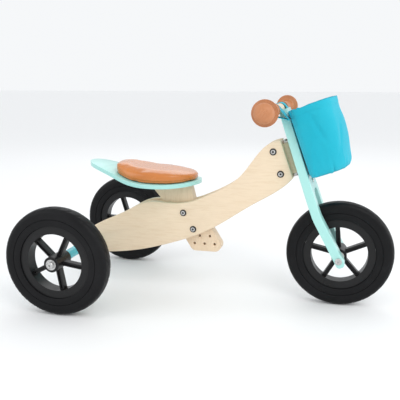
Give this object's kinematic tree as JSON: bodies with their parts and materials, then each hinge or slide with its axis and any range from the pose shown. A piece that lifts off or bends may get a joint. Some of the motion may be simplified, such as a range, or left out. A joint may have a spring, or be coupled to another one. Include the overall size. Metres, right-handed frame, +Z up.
{
  "type": "children's tricycle",
  "caption": "Wooden ride-on training tricycle with plywood side panels, a steered front fork board, padded seat, wide handlebar and a hanging fabric bag.",
  "frame": {"origin": "on the ground, in the middle of the length and width", "axes": "+X is the way the tricycle travels, +Y is the rider's left, +Z is up"},
  "size_m": [0.83, 0.5002, 0.4732],
  "materials": {
    "tyre": "matte foam",
    "black_plastic": "satin",
    "nylon": "satin",
    "zinc": "zinc plated",
    "birch": "clear lacquer",
    "turquoise_paint": "painted",
    "mint_paint": "painted",
    "brass": "plain",
    "grip_brown": "satin",
    "cushion_brown": "glossy",
    "bag_fabric": "woven"
  },
  "bodies": {
    "frame": {"beam_screws": "zinc", "cushion_board": "birch", "frame_panel_left": "birch", "frame_panel_right": "birch", "head_block": "birch", "head_bolts": "zinc", "head_nuts": "zinc", "post_bolts": "zinc", "post_nuts": "zinc", "rear_axle_beam": "turquoise_paint", "rear_axle_caps": "zinc", "rear_axle_rod": "zinc", "rear_inner_washers": "zinc", "rear_outer_washers": "zinc", "seat_cushion": "cushion_brown", "seat_post": "birch", "seat_screws": "zinc", "seat_shell": "mint_paint", "steering_sleeve": "brass"},
    "steering": {"axle_lock_screws": "zinc", "bag": "bag_fabric", "bag_strap_left": "bag_fabric", "bag_strap_right": "bag_fabric", "bracket_screws": "zinc", "fork_board": "mint_paint", "front_axle_bolt": "zinc", "front_axle_cap": "zinc", "front_spacers": "nylon", "grip_left": "grip_brown", "grip_right": "grip_brown", "handlebar_dowel": "birch", "handlebar_screws": "zinc", "lower_bracket": "zinc", "steering_nut": "zinc", "steering_pin": "zinc", "upper_bracket": "zinc"},
    "rear_right_wheel": {"rear_right_tyre": "tyre", "rear_right_rim": "black_plastic", "rear_right_hub_bushes": "nylon"},
    "rear_left_wheel": {"rear_left_tyre": "tyre", "rear_left_rim": "black_plastic", "rear_left_hub_bushes": "nylon"},
    "front_wheel": {"front_tyre": "tyre", "front_rim": "black_plastic", "front_hub_bushes": "nylon"}
  },
  "joints": [
    {"name": "steering", "type": "hinge", "parent": "frame", "child": "steering", "pos_m": [0.18271, 0, 0.31734], "axis": [-0.342, 0, 0.9397], "range_deg": [-30, 30]},
    {"name": "front_wheel_spin", "type": "hinge", "parent": "steering", "child": "front_wheel", "pos_m": [0.295, 0, 0.12], "axis": [0, 1, 0], "continuous": true},
    {"name": "rear_left_wheel_spin", "type": "hinge", "parent": "frame", "child": "rear_left_wheel", "pos_m": [-0.295, 0.213, 0.12], "axis": [0, 1, 0], "continuous": true},
    {"name": "rear_right_wheel_spin", "type": "hinge", "parent": "frame", "child": "rear_right_wheel", "pos_m": [-0.295, -0.213, 0.12], "axis": [0, 1, 0], "continuous": true}
  ]
}
